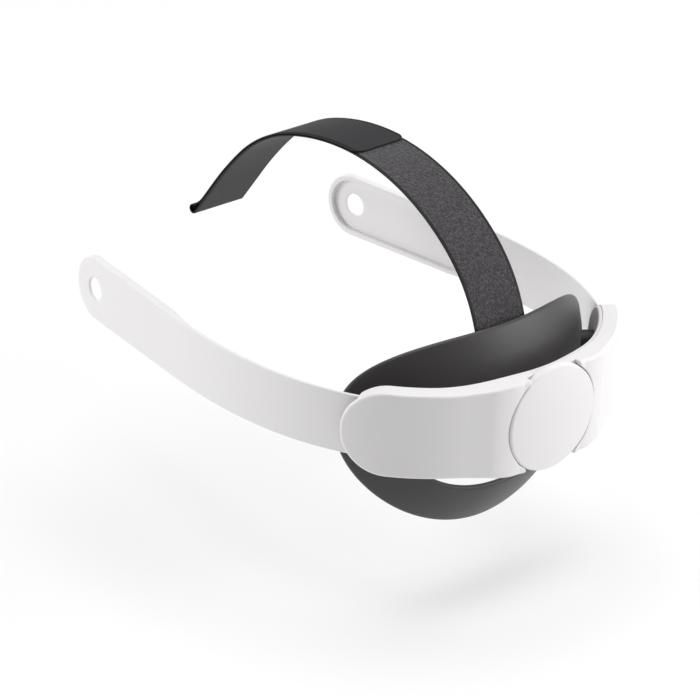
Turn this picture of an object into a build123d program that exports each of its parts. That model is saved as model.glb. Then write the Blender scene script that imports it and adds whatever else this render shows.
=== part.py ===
"""Rigid head strap of a vr headset: two sliding side arms, a geared fit dial in a curved rear
housing, a ring-shaped head cradle and a fabric top strap. Millimetres. The origin is the head rest:
the point on the dial's axis where the back of the head meets the cradle. +X is the wearer's right,
+Y the wearer's front and +Z up."""
import os
from math import acos, cos, degrees, pi, radians, sin, sqrt, tan

from build123d import *

os.makedirs("parts", exist_ok=True)

# The band that both arms follow, seen from above: its outer face starts on the dial's axis and
# runs round the wearer's left side as (length, turn in degrees) stretches.
rear_gap = 20.0
band_stretches = ((85.0, 62.8), (35.0, 17.2), (30.0, 10.0), (30.0, 7.0), (78.0, 0.0))
band_start = (0.0, -rear_gap)
band_heading = 180.0
arm_length = 258.0
band_radius = band_stretches[0][0] / radians(band_stretches[0][1])
band_centre_y = band_radius - rear_gap
arm_rear_height = 25.9
arm_tip_height = 28.4

# Flexible strip and rigid front section of each arm.
strip_thickness = 1.4
strip_rear_end = 54.0
flex_distance = 130.0
flex_gap = 0.4
thick_start = 170.0
thick_depth = 3.4
thick_full = 187.0
rim_width = 1.2
pocket_start = 6.0
arm_hole_radius = 5.0
arm_hole_from_tip = 14.2

# Rear housing: curved shell, back cover and screws.
housing_outer = -5.1
shell_inner = 2.2
cover_outer = 2.25
cover_inner = 3.9
wing_end = 86.0
wing_height = 36.8
cover_margin = 0.4
hump_height = 41.4
hump_flat = 12.0
hump_foot = 45.0
channel_height = 27.2
channel_outer = -1.0
deep_channel_outer = -3.3
deep_channel_start = 34.0
dial_pad_width = 24.5
dial_pad_y = -rear_gap - 3.5
dial_pad_slope = 17.4
dial_pad_tilt = 29.5
dial_pad_blend = 12.0
grip_cutout_half_width = 13.5

# Fit dial and its gear.
dial_radius = 22.9
dial_edge_y = -rear_gap - 3.6
dial_dome = 2.4
dial_back_y = -rear_gap - 2.4
skirt_back_y = -rear_gap - 0.9
skirt_inner_radius = 21.0
seam = 0.4
recess_floor_y = -rear_gap - 2.1
groove_floor_y = -rear_gap - 0.6
groove_inner_radius = 20.7
ratchet_outer_radius = 14.6
ratchet_inner_radius = 8.0
ratchet_roof_y = -rear_gap - 3.7
ratchet_notches = 36
ratchet_notch_radius = 0.55
spring_front_y = -rear_gap - 3.3
spring_back_y = -rear_gap - 2.15
spring_ring_outer = 10.4
spring_ring_inner = 9.0
spring_finger_reach = 14.1
spring_finger_width = 1.6
spring_rivet_spots = (-9.7, 9.7)
spring_rivet_radius = 0.5
spring_rivet_end_y = -rear_gap - 1.5
gear_module = 1.0
pinion_teeth = 14
pressure_angle = 20.0
gear_play = 0.05
gear_clearance = 0.25
backlash = 0.25
rack_addendum = 0.8
flank_steps = 4
gear_front_y = -rear_gap - 0.5
gear_back_y = -rear_gap + 1.6
journal_radius = 3.0
journal_end_y = -rear_gap + 3.6
running_clearance = 0.05
tang_width = 4.0
tang_end_y = -rear_gap - 3.7
dial_screw_radius = 1.0
dial_screw_head = 1.9
dial_screw_head_depth = 0.9
dial_screw_tip_y = -rear_gap - 4.7

# Toothed racks, one above the pinion and one below it.
rack_outer = -0.6
rack_inner = 1.7
rack_bar_top = 12.5
rack_tail = -27.0
rack_bar_end = 53.0
rack_teeth_end = 36.0
rack_tab_outer = -1.9
rack_tab_inner = -0.1
rack_tab_start = 48.0
rack_tab_end = 66.0
rack_tab_low = -5.0
rivet_distance = 60.0
rivet_heights = (9.0, -2.0)

# Head cradle: a ring cut from a spherical shell.
cradle_radius = 85.34
cradle_thickness = 2.5
cradle_centre = (0.0, 81.5, -7.95)
ring_middle_z = -7.16
ring_half_width = 68.0
ring_up = 37.8
ring_down = 53.2
hole_half_width = 46.7
hole_up = 10.0
hole_down = 32.5
ring_up_power = 2.7
ring_down_power = 1.8
hole_down_power = 2.14
cradle_front = 45.0
clip_distance = 75.0
clip_radius = 5.0
clip_screw_radius = 1.1
clip_screw_head = 2.4
clip_screw_head_depth = 1.0
clip_reach = 12.0
clip_screw_reach = 9.3

# Top strap, seen from the side: (length, turn) stretches from its anchor bar to the front fold.
strap_width = 27.0
webbing = 0.65
bar_y = 8.4
bar_z = 19.0
bar_radius = 1.85
sleeve_radius = 2.55
sleeve_bore = 1.9
anchor_plate = 0.8
anchor_half_width = 24.0
ear_inner = 14.5
ear_outer = 18.5
ear_half_height = 3.0
anchor_rivet_x = 21.4
anchor_rivet_depth = 2.2
strap_heading = 70.0
strap_stretches = (
    (12.0, 0.0), (30.0, 28.3), (36.0, 22.7), (36.0, 20.6), (34.0, 17.1), (36.0, 27.3), (26.0, 7.5),
    (22.0, 0.0),
)
fold_inner_radius = 1.5
fold_taper = 30.0
tab_start = 103.0
patch_length = 34.0
patch_thickness = 0.2
ply_gap = 0.05

# Small hardware. Pieces of one body that touch are kept a hair apart, and cutters overrun the face
# that they start from.
housing_screw_radius = 0.9
housing_screw_head = 1.35
housing_screw_head_depth = 0.8
housing_screw_tip = -1.5
housing_screw_distances = (36.0, 64.0)
housing_screw_height = 15.3
rivet_radius = 1.1
rivet_head = 2.0
rivet_head_depth = 0.6
snug = 0.03
overrun = 1.0


def run_along(start, heading, stretches, distance, inset=0.0):
    """Point and heading after a distance along arcs and lines, inset to the right of travel."""
    x, y = start
    remaining = distance
    for length, turn in stretches:
        step = min(remaining, length)
        remaining -= step
        if turn:
            radius = length / radians(turn)
            x += radius * sin(radians(heading))
            y -= radius * cos(radians(heading))
            heading -= degrees(step / radius)
            x -= radius * sin(radians(heading))
            y += radius * cos(radians(heading))
        else:
            x += step * cos(radians(heading))
            y += step * sin(radians(heading))
    return (x + inset * sin(radians(heading)), y - inset * cos(radians(heading))), heading


def draw_along(start, heading, stretches, low, high, inset):
    """Draws the arcs and lines between two distances, inset to the right of travel."""
    reached = 0.0
    for length, turn in stretches:
        first = low if reached == 0.0 else max(low, reached)
        last = min(high, reached + length)
        reached += length
        if last > first:
            point, direction = run_along(start, heading, stretches, first, inset)
            if turn:
                radius = length / radians(turn)
                tangent = (cos(radians(direction)), sin(radians(direction)))
                JernArc(point, tangent, abs(radius - inset), -degrees((last - first) / radius))
            else:
                Line(point, run_along(start, heading, stretches, last, inset)[0])


def ribbon(start, heading, stretches, low, high, outer, inner):
    """Face between two insets of a run of arcs and lines."""
    with BuildSketch() as face:
        with BuildLine():
            draw_along(start, heading, stretches, low, high, outer)
            draw_along(start, heading, stretches, low, high, inner)
            for distance in (low, high):
                outside = run_along(start, heading, stretches, distance, outer)[0]
                inside = run_along(start, heading, stretches, distance, inner)[0]
                Line(outside, inside)
        make_face()
    return face.sketch


def band_plan(low, high, outer, inner):
    """Plan face of the left arm's band between two distances and two insets."""
    return ribbon(band_start, band_heading, band_stretches, low, high, outer, inner)


def band_plane(distance, inset=0.0):
    """Plane on the left arm: x along the arm towards its tip, z straight out of the band."""
    point, heading = run_along(band_start, band_heading, band_stretches, distance, inset)
    forward = (cos(radians(heading)), sin(radians(heading)), 0)
    outward = (-sin(radians(heading)), cos(radians(heading)), 0)
    return Plane(origin=(point[0], point[1], 0), x_dir=forward, z_dir=outward)


def rear_arc(outer, inner, angle):
    """Plan face of the rear arc, both sides of the dial, between two insets."""
    with BuildSketch(Plane((0, band_centre_y, 0))) as face:
        with BuildLine():
            CenterArc((0, 0), band_radius - outer, -90 - angle, 2 * angle)
            CenterArc((0, 0), band_radius - inner, -90 - angle, 2 * angle)
            for side in (-90 - angle, -90 + angle):
                near = (band_radius - inner) * cos(radians(side)), (band_radius - inner) * sin(radians(side))
                far = (band_radius - outer) * cos(radians(side)), (band_radius - outer) * sin(radians(side))
                Line(near, far)
        make_face()
    return face.sketch


def dial_plane(y):
    """Plane across the dial's axis, z towards the rear."""
    return Plane(origin=(0, y, 0), x_dir=(1, 0, 0), z_dir=(0, -1, 0))


def rounded_oval(half_width, up, down, power_up, power_down):
    """Closed outline about the ring's middle, fuller above than below."""
    upper, lower = [], []
    for step in range(-8, 9):
        angle = step * pi / 16
        for points, height, power in ((upper, up, power_up), (lower, -down, power_down)):
            across = half_width * abs(sin(angle)) ** (2 / power)
            rise = height * cos(angle) ** (2 / power)
            points.append((across if step > 0 else -across, ring_middle_z + rise))
    with BuildSketch(Plane.XZ) as face:
        with BuildLine():
            Spline(*upper, tangents=((0, 1), (0, -1)))
            Spline(*lower, tangents=((0, -1), (0, 1)))
        make_face()
    return face.sketch


def finish(piece, name):
    """Labels a piece and writes it as one STEP file."""
    piece.part.label = name
    export_step(piece.part, f"parts/{name}.step")


def finish_turned_pair(piece, name):
    """Writes a left-hand piece and the same piece turned half round the dial's axis."""
    finish(piece, f"left_{name}")
    with BuildPart() as twin:
        add(piece.part.rotate(Axis.Y, 180))
    finish(twin, f"right_{name}")


def finish_mirrored_pair(piece, name):
    """Writes a left-hand piece and its mirror image."""
    finish(piece, f"left_{name}")
    with BuildPart() as twin:
        mirror(piece.part, about=Plane.YZ)
    finish(twin, f"right_{name}")


def same_side(plane):
    """The left-hand plane as it is."""
    return plane


def mirrored(plane):
    """The same plane on the right-hand side."""
    return Plane(origin=(-plane.origin.X, plane.origin.Y, plane.origin.Z),
                 x_dir=(-plane.x_dir.X, plane.x_dir.Y, plane.x_dir.Z),
                 z_dir=(-plane.z_dir.X, plane.z_dir.Y, plane.z_dir.Z))


def housing_outline(shrink):
    """Housing seen from the rear: level wings that swell gently to the dial."""
    low, high, far = wing_height / 2 - shrink, hump_height / 2 - shrink, band_radius * 1.2
    with BuildSketch(Plane.XZ) as face:
        with BuildLine():
            Line((0, high), (hump_flat, high))
            Spline((hump_flat, high), (hump_foot, low), tangents=((1, 0), (1, 0)))
            Line((hump_foot, low), (far, low))
            Line((far, low), (far, 0))
            Line((far, 0), (0, 0))
            Line((0, 0), (0, high))
        make_face()
        mirror(about=Plane.XZ)
        mirror(about=Plane.YZ)
    return face.sketch


def wing_corners(plane, shrink):
    """What is cut away so that a wing ends in a full half round."""
    with BuildSketch(plane) as corners:
        with Locations((wing_height / 2, 0)):
            Rectangle(wing_height, wing_height * 2)
        Circle(wing_height / 2 - shrink, mode=Mode.SUBTRACT)
    return corners.sketch


def on_dial(y, radius, hollow=0.0):
    """Disc or ring across the dial's axis."""
    with BuildSketch(dial_plane(y)) as face:
        Circle(radius)
        if hollow:
            Circle(hollow, mode=Mode.SUBTRACT)
    return face.sketch


def cradle_plane(x, z, depth):
    """Plane on the cradle's spherical shell, a depth below its outer face, z straight out."""
    rise = z - cradle_centre[2]
    reach = sqrt(cradle_radius**2 - x**2 - rise**2)
    share = (cradle_radius - depth) / cradle_radius
    spot = (x * share, cradle_centre[1] - reach * share, cradle_centre[2] + rise * share)
    return Plane(origin=spot, x_dir=(reach, x, 0), z_dir=(x, -reach, rise))


def on_band(distance, inset, radius, heights=(0.0,)):
    """Discs on the left arm's band, at heights above its middle."""
    with BuildSketch(band_plane(distance, inset)) as face:
        for height in heights:
            with Locations((0, -height)):
                Circle(radius)
    return face.sketch


# Housing shell: moulded band with round-ended wings, open towards the head, with a round seat for
# the dial, a bore for its shaft and a channel that the racks and strips slide in.
wing_angle = degrees(wing_end / band_radius)
wing_round = band_plane(wing_end - wing_height / 2)
wing_rounds = (wing_round, mirrored(wing_round))
screw_spots = ((0, housing_screw_height), (0, -housing_screw_height))
with BuildPart() as housing_shell:
    extrude(rear_arc(housing_outer, shell_inner, wing_angle), amount=hump_height / 2, both=True)
    with BuildSketch(Plane.XY):
        with BuildLine():
            far_x = dial_pad_width + dial_pad_slope
            slope_y = dial_pad_y + dial_pad_slope * tan(radians(dial_pad_tilt))
            FilletPolyline((-far_x, slope_y), (-dial_pad_width, dial_pad_y),
                           (dial_pad_width, dial_pad_y), (far_x, slope_y), radius=dial_pad_blend)
            Line((far_x, slope_y), (0, 0))
            Line((0, 0), (-far_x, slope_y))
        make_face()
    extrude(amount=hump_height / 2, both=True)
    extrude(rear_arc(shell_inner, band_radius - overrun, wing_angle), amount=hump_height, both=True,
            mode=Mode.SUBTRACT)
    extrude(housing_outline(0), amount=band_radius * 2, both=True, mode=Mode.INTERSECT)
    for plane in wing_rounds:
        extrude(wing_corners(plane, 0), amount=wing_height / 2, both=True, mode=Mode.SUBTRACT)
    channel_angle = degrees((deep_channel_start + overrun) / band_radius)
    extrude(rear_arc(channel_outer, cover_inner, channel_angle), amount=channel_height / 2, both=True,
            mode=Mode.SUBTRACT)
    with BuildSketch(Plane.XY):
        add(band_plan(deep_channel_start, wing_end + strip_thickness, deep_channel_outer, cover_inner))
        mirror(about=Plane.YZ)
    extrude(amount=channel_height / 2, both=True, mode=Mode.SUBTRACT)
    extrude(on_dial(recess_floor_y, dial_radius + seam), amount=rear_gap, mode=Mode.SUBTRACT)
    extrude(on_dial(groove_floor_y, dial_radius + seam, groove_inner_radius), amount=rear_gap,
            mode=Mode.SUBTRACT)
    with BuildSketch(dial_plane(groove_floor_y)):
        Rectangle(2 * grip_cutout_half_width, 2 * wing_height)
        Circle(groove_inner_radius, mode=Mode.SUBTRACT)
    extrude(amount=rear_gap, mode=Mode.SUBTRACT)
    extrude(on_dial(0, journal_radius + running_clearance), amount=rear_gap * 2, mode=Mode.SUBTRACT)
    for x in spring_rivet_spots:
        with BuildSketch(dial_plane(spring_rivet_end_y)):
            with Locations((x, 0)):
                Circle(spring_rivet_radius + snug)
        extrude(amount=rear_gap, mode=Mode.SUBTRACT)
    for place in (same_side, mirrored):
        for distance in housing_screw_distances:
            with BuildSketch(place(band_plane(distance, cover_inner))):
                with Locations(*screw_spots):
                    Circle(housing_screw_radius + snug)
            extrude(amount=cover_inner - housing_screw_tip, mode=Mode.SUBTRACT)
finish(housing_shell, "housing_shell")

# Housing back cover: curved plate on the head side that closes the channel and carries the
# shaft's inner bearing. Small screws hold it to the shell.
with BuildPart() as housing_back_cover:
    extrude(rear_arc(cover_outer, cover_inner, wing_angle), amount=hump_height / 2, both=True)
    extrude(housing_outline(cover_margin), amount=band_radius * 2, both=True, mode=Mode.INTERSECT)
    for plane in wing_rounds:
        extrude(wing_corners(plane, cover_margin), amount=wing_height / 2, both=True, mode=Mode.SUBTRACT)
    extrude(on_dial(0, journal_radius + running_clearance), amount=rear_gap * 2, mode=Mode.SUBTRACT)
    for place in (same_side, mirrored):
        for distance in housing_screw_distances:
            with BuildSketch(place(band_plane(distance, cover_inner + overrun))):
                with Locations(*screw_spots):
                    Circle(housing_screw_radius + snug)
            extrude(amount=cover_inner + overrun, mode=Mode.SUBTRACT)
            with BuildSketch(place(band_plane(distance, cover_inner + overrun))):
                with Locations(*screw_spots):
                    Circle(housing_screw_head + snug)
            extrude(amount=overrun + housing_screw_head_depth + snug, mode=Mode.SUBTRACT)
        with BuildSketch(place(band_plane(clip_distance, cover_inner + overrun))):
            Circle(clip_screw_radius + snug)
        extrude(amount=cover_inner + overrun, mode=Mode.SUBTRACT)
finish(housing_back_cover, "housing_back_cover")

# Housing screws: pan-head screws, two above and two below the channel on each side.
with BuildPart() as housing_screws:
    for place in (same_side, mirrored):
        for distance in housing_screw_distances:
            with BuildSketch(place(band_plane(distance, cover_inner - snug))):
                with Locations(*screw_spots):
                    Circle(housing_screw_radius)
            extrude(amount=cover_inner - housing_screw_tip - 4 * snug)
            with BuildSketch(place(band_plane(distance, cover_inner - snug))):
                with Locations(*screw_spots):
                    Circle(housing_screw_head)
            extrude(amount=housing_screw_head_depth - snug)
finish(housing_screws, "housing_screws")

# Dial: domed disc with a short skirt, a square socket for the shaft and a ring of click notches
# on its back.
with BuildPart() as dial:
    extrude(on_dial(skirt_back_y, dial_radius), amount=dial_radius / 2)
    dome_radius = (dial_radius**2 + dial_dome**2) / (2 * dial_dome)
    with Locations((0, dial_edge_y - dial_dome + dome_radius, 0)):
        Sphere(dome_radius, mode=Mode.INTERSECT)
    with BuildSketch(dial_plane(skirt_back_y)):
        Circle(skirt_inner_radius)
    extrude(amount=skirt_back_y - dial_back_y, mode=Mode.SUBTRACT)
    extrude(on_dial(dial_back_y, ratchet_outer_radius, ratchet_inner_radius),
            amount=dial_back_y - ratchet_roof_y, mode=Mode.SUBTRACT)
    with BuildSketch(dial_plane(dial_back_y)):
        with PolarLocations(ratchet_outer_radius, ratchet_notches):
            Circle(ratchet_notch_radius)
    extrude(amount=dial_back_y - ratchet_roof_y, mode=Mode.SUBTRACT)
    with BuildSketch(dial_plane(dial_back_y)):
        Rectangle(tang_width + 2 * snug, tang_width + 2 * snug)
    extrude(amount=dial_back_y - tang_end_y + snug, mode=Mode.SUBTRACT)
    extrude(on_dial(dial_back_y, dial_screw_radius + snug), amount=dial_back_y - dial_screw_tip_y + snug,
            mode=Mode.SUBTRACT)
finish(dial, "dial")

# Pinion and shaft: one moulding with a square tang in the dial, a journal in the shell, the
# toothed pinion between the racks and a journal in the back cover.
pitch_radius = gear_module * pinion_teeth / 2
base_radius = pitch_radius * cos(radians(pressure_angle))
tip_radius = pitch_radius + gear_module
root_radius = pitch_radius - rack_addendum - gear_clearance


def flank_angle(radius):
    """Turn of an involute flank from its base circle, in radians."""
    slope = acos(base_radius / radius)
    return tan(slope) - slope


half_tooth = (pi / 2 - gear_play / gear_module) / pinion_teeth + flank_angle(pitch_radius)
flank = [(root_radius * cos(half_tooth), root_radius * sin(half_tooth))]
for step in range(flank_steps + 1):
    flank_radius = base_radius + (tip_radius - base_radius) * step / flank_steps
    lean = half_tooth - flank_angle(flank_radius)
    flank.append((flank_radius * cos(lean), flank_radius * sin(lean)))
with BuildSketch() as tooth:
    with BuildLine():
        Polyline(*flank, *((x, -y) for x, y in reversed(flank)), close=True)
    make_face()
with BuildPart() as pinion_shaft:
    extrude(on_dial(journal_end_y, journal_radius), amount=journal_end_y - dial_back_y)
    with BuildSketch(dial_plane(gear_back_y)):
        Circle(root_radius)
        for number in range(pinion_teeth):
            add(tooth.sketch.rotate(Axis.Z, 90 + number * 360 / pinion_teeth))
    extrude(amount=gear_back_y - gear_front_y)
    with BuildSketch(dial_plane(dial_back_y)):
        Rectangle(tang_width, tang_width)
    extrude(amount=dial_back_y - tang_end_y)
    extrude(on_dial(journal_end_y, dial_screw_radius + snug), amount=rear_gap, mode=Mode.SUBTRACT)
    extrude(on_dial(journal_end_y, dial_screw_head + snug), amount=dial_screw_head_depth + snug,
            mode=Mode.SUBTRACT)
finish(pinion_shaft, "pinion_shaft")

# Dial screw: passes through the shaft from the head side into the dial.
with BuildPart() as dial_screw:
    extrude(on_dial(journal_end_y, dial_screw_radius), amount=journal_end_y - dial_screw_tip_y)
    extrude(on_dial(journal_end_y, dial_screw_head), amount=dial_screw_head_depth)
finish(dial_screw, "dial_screw")

# Click spring: flat ring with one finger that points into the dial's notches, on two rivets.
with BuildPart() as click_spring:
    with BuildSketch(dial_plane(spring_back_y)):
        Circle(spring_ring_outer)
        with Locations((0, (spring_ring_inner + spring_finger_reach) / 2)):
            SlotCenterToCenter(spring_finger_reach - spring_ring_inner - spring_finger_width,
                               spring_finger_width, rotation=90)
        Circle(spring_ring_inner, mode=Mode.SUBTRACT)
        with Locations(*((x, 0) for x in spring_rivet_spots)):
            Circle(spring_rivet_radius + snug, mode=Mode.SUBTRACT)
    extrude(amount=spring_back_y - spring_front_y)
finish(click_spring, "click_spring")

with BuildPart() as click_spring_rivets:
    with BuildSketch(dial_plane(spring_rivet_end_y - snug)):
        with Locations(*((x, 0) for x in spring_rivet_spots)):
            Circle(spring_rivet_radius)
    extrude(amount=spring_rivet_end_y - spring_front_y)
finish(click_spring_rivets, "click_spring_rivets")

# Racks: the left one runs above the pinion and the right one below it. Each is a curved toothed
# bar with a tab that is riveted to the outer face of its strip.
pitch_line = pitch_radius
tooth_pitch = pi * gear_module * band_radius / (band_radius - (rack_outer + rack_inner) / 2)
half_thick = (pi * gear_module / 2 - backlash) / 2
tip_half = half_thick - rack_addendum * tan(radians(pressure_angle))
root_depth = gear_module + gear_clearance
root_half = half_thick + root_depth * tan(radians(pressure_angle))
with BuildPart() as rack:
    with BuildSketch(Plane.XY.offset(pitch_line + root_depth)):
        add(band_plan(rack_tail, rack_bar_end, rack_outer, rack_inner))
    extrude(amount=rack_bar_top - pitch_line - root_depth)
    first_tooth = round(rack_tail / tooth_pitch) + 1
    last_tooth = round(rack_teeth_end / tooth_pitch)
    for number in range(first_tooth, last_tooth):
        with BuildSketch(band_plane((number + 0.5) * tooth_pitch, rack_inner)):
            with BuildLine():
                Polyline((-tip_half, rack_addendum - pitch_line), (tip_half, rack_addendum - pitch_line),
                         (root_half, -pitch_line - root_depth - snug),
                         (-root_half, -pitch_line - root_depth - snug), close=True)
            make_face()
        extrude(amount=rack_inner - rack_outer)
    with BuildSketch(Plane.XY.offset(rack_tab_low)):
        add(band_plan(rack_tab_start, rack_tab_end, rack_tab_outer, rack_tab_inner))
    extrude(amount=rack_bar_top - rack_tab_low)
    extrude(on_band(rivet_distance, rack_inner, rivet_radius + snug, rivet_heights), amount=rear_gap / 2,
            mode=Mode.SUBTRACT)
finish_turned_pair(rack, "rack")

# Rack rivets: two shouldered rivets per side, heads on both faces.
with BuildPart() as rack_rivets:
    low_face = strip_thickness + rivet_head_depth + snug
    high_face = rack_tab_outer - rivet_head_depth - snug
    extrude(on_band(rivet_distance, low_face, rivet_radius, rivet_heights), amount=low_face - high_face)
    extrude(on_band(rivet_distance, low_face, rivet_head, rivet_heights), amount=rivet_head_depth)
    extrude(on_band(rivet_distance, high_face + rivet_head_depth, rivet_head, rivet_heights),
            amount=rivet_head_depth)
finish_turned_pair(rack_rivets, "rack_rivets")


def arm_side_view():
    """Arm seen from the side: straight taper from the rear to the tip."""
    tip_y = run_along(band_start, band_heading, band_stretches, arm_length)[0][1]
    with BuildSketch(Plane.YZ) as face:
        with BuildLine():
            Polyline((-rear_gap, -arm_rear_height / 2), (tip_y, -arm_tip_height / 2),
                     (tip_y, arm_tip_height / 2), (-rear_gap, arm_rear_height / 2), close=True)
        make_face()
    return face.sketch


# Rear half of each arm's flexible strip. It slides in the housing and ends short of the flex line.
with BuildPart() as strip:
    extrude(band_plan(strip_rear_end, flex_distance - flex_gap, 0, strip_thickness),
            amount=arm_tip_height, both=True)
    extrude(arm_side_view(), amount=band_radius * 2, both=True, mode=Mode.INTERSECT)
    extrude(on_band(rivet_distance, strip_thickness + overrun, rivet_radius + snug, rivet_heights),
            amount=rear_gap / 2, mode=Mode.SUBTRACT)
finish_turned_pair(strip, "strip")

# Front of each arm: the rest of the strip, which thickens gently into a stiff section that is
# dished on the head side, with a round tip and the hole that the headset's pivot goes through.
with BuildPart() as front_arm:
    extrude(band_plan(flex_distance + flex_gap, arm_length, 0, thick_depth), amount=arm_tip_height,
            both=True)
    extrude(arm_side_view(), amount=band_radius * 2, both=True, mode=Mode.INTERSECT)
    extrude(band_plan(flex_distance, thick_start, strip_thickness, thick_depth + overrun),
            amount=arm_tip_height, both=True, mode=Mode.SUBTRACT)
    with BuildSketch():
        with BuildLine():
            Polyline(*(run_along(band_start, band_heading, band_stretches, distance, inset)[0]
                       for distance, inset in ((thick_start, strip_thickness),
                                               (thick_start, thick_depth + overrun),
                                               (thick_full, thick_depth + overrun),
                                               (thick_full, thick_depth))), close=True)
        make_face()
    extrude(amount=arm_tip_height, both=True, mode=Mode.SUBTRACT)
    tip_plane = band_plane(arm_length - arm_tip_height / 2, thick_depth)
    with BuildSketch(tip_plane):
        with Locations((arm_tip_height / 2, 0)):
            Rectangle(arm_tip_height, arm_tip_height * 2)
        Circle(arm_tip_height / 2, mode=Mode.SUBTRACT)
    extrude(amount=thick_depth * 2, mode=Mode.SUBTRACT)
    with BuildSketch(Plane.XY):
        add(band_plan(thick_start + pocket_start, arm_length - arm_tip_height / 2,
                      strip_thickness, thick_depth + overrun))
    extrude(amount=arm_rear_height / 2 - rim_width, both=True, mode=Mode.SUBTRACT)
    with BuildSketch(tip_plane):
        Circle(arm_rear_height / 2 - rim_width)
    extrude(amount=thick_depth - strip_thickness, mode=Mode.SUBTRACT)
    with BuildSketch(band_plane(arm_length - arm_hole_from_tip, thick_depth)):
        Circle(arm_hole_radius)
    extrude(amount=thick_depth * 2, mode=Mode.SUBTRACT)
finish_mirrored_pair(front_arm, "front_arm")

# Head cradle: one flexible ring cut from a spherical shell, fuller above the dial than below.
with BuildPart() as cradle_ring:
    with BuildSketch(Plane.XZ.offset(-cradle_front)):
        add(rounded_oval(ring_half_width, ring_up, ring_down, ring_up_power, ring_down_power))
        add(rounded_oval(hole_half_width, hole_up, hole_down, ring_up_power, hole_down_power),
            mode=Mode.SUBTRACT)
    extrude(amount=cradle_front + rear_gap)
    with Locations(cradle_centre):
        Sphere(cradle_radius, mode=Mode.INTERSECT)
        Sphere(cradle_radius - cradle_thickness, mode=Mode.SUBTRACT)
    for place in (same_side, mirrored):
        with BuildSketch(place(band_plane(clip_distance, cover_inner + clip_reach))):
            Circle(clip_screw_radius + snug)
        extrude(amount=clip_reach, mode=Mode.SUBTRACT)
    for x in (-anchor_rivet_x, anchor_rivet_x):
        with BuildSketch(cradle_plane(x, bar_z, cradle_thickness + overrun)):
            Circle(rivet_radius + snug)
        extrude(amount=overrun + anchor_rivet_depth, mode=Mode.SUBTRACT)
finish(cradle_ring, "cradle_ring")

# Cradle posts: short round spacers between the housing wings and the cradle's sides.
with BuildPart() as cradle_post:
    with BuildSketch(band_plane(clip_distance, cover_inner + clip_reach)):
        Circle(clip_radius)
        Circle(clip_screw_radius + snug, mode=Mode.SUBTRACT)
    extrude(amount=clip_reach)
    extrude(rear_arc(housing_outer, cover_inner + snug, 90), amount=clip_radius * 2, both=True,
            mode=Mode.SUBTRACT)
    with Locations(cradle_centre):
        Sphere(cradle_radius + snug, mode=Mode.SUBTRACT)
finish_mirrored_pair(cradle_post, "cradle_post")

# Cradle screws: one per side, from the head side through the cradle and its post into the cover.
with BuildPart() as cradle_screws:
    for place in (same_side, mirrored):
        head_face = band_plane(clip_distance, cover_inner + clip_screw_reach)
        with BuildSketch(place(head_face)):
            Circle(clip_screw_radius)
        extrude(amount=clip_screw_reach + cover_inner - cover_outer)
        with BuildSketch(place(head_face)):
            Circle(clip_screw_head)
        extrude(amount=clip_screw_head_depth)
finish(cradle_screws, "cradle_screws")

# Strap anchor: plate on the head side of the cradle's upper edge, with two ears that hold a bar.
with BuildPart() as strap_anchor:
    with Locations((0, 0, bar_z)):
        Box(2 * anchor_half_width, cradle_front, 2 * ear_half_height)
    with Locations(cradle_centre):
        Sphere(cradle_radius - cradle_thickness - snug - anchor_plate, mode=Mode.SUBTRACT)
    for x in (-ear_outer, ear_inner):
        with BuildSketch(Plane.YZ.offset(x)):
            with BuildLine():
                Line((0, bar_z - ear_half_height), (bar_y, bar_z - ear_half_height))
                ThreePointArc((bar_y, bar_z - ear_half_height), (bar_y + ear_half_height, bar_z),
                              (bar_y, bar_z + ear_half_height))
                Line((bar_y, bar_z + ear_half_height), (0, bar_z + ear_half_height))
                Line((0, bar_z + ear_half_height), (0, bar_z - ear_half_height))
            make_face()
            with Locations((bar_y, bar_z)):
                Circle(bar_radius + snug, mode=Mode.SUBTRACT)
        extrude(amount=ear_outer - ear_inner)
    with Locations(cradle_centre):
        Sphere(cradle_radius - cradle_thickness - snug, mode=Mode.INTERSECT)
    for x in (-anchor_rivet_x, anchor_rivet_x):
        with BuildSketch(cradle_plane(x, bar_z, cradle_thickness + 2 * anchor_plate)):
            Circle(rivet_radius + snug)
        extrude(amount=2 * anchor_plate, mode=Mode.SUBTRACT)
finish(strap_anchor, "strap_anchor")

# Anchor bar: round pin across the ears that the strap's sewn sleeve turns on.
with BuildPart() as anchor_bar:
    with BuildSketch(Plane.YZ.offset(-ear_outer)):
        with Locations((bar_y, bar_z)):
            Circle(bar_radius)
    extrude(amount=2 * ear_outer)
finish(anchor_bar, "anchor_bar")

# Anchor rivets: one each end of the plate, blind in the cradle.
with BuildPart() as anchor_rivets:
    for x in (-anchor_rivet_x, anchor_rivet_x):
        plate_face = cradle_plane(x, bar_z, cradle_thickness + anchor_plate + 2 * snug)
        with BuildSketch(plate_face):
            Circle(rivet_radius)
        extrude(amount=anchor_plate + anchor_rivet_depth - snug)
        with BuildSketch(plate_face):
            Circle(rivet_head)
        extrude(amount=-rivet_head_depth)
finish(anchor_rivets, "anchor_rivets")

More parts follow.
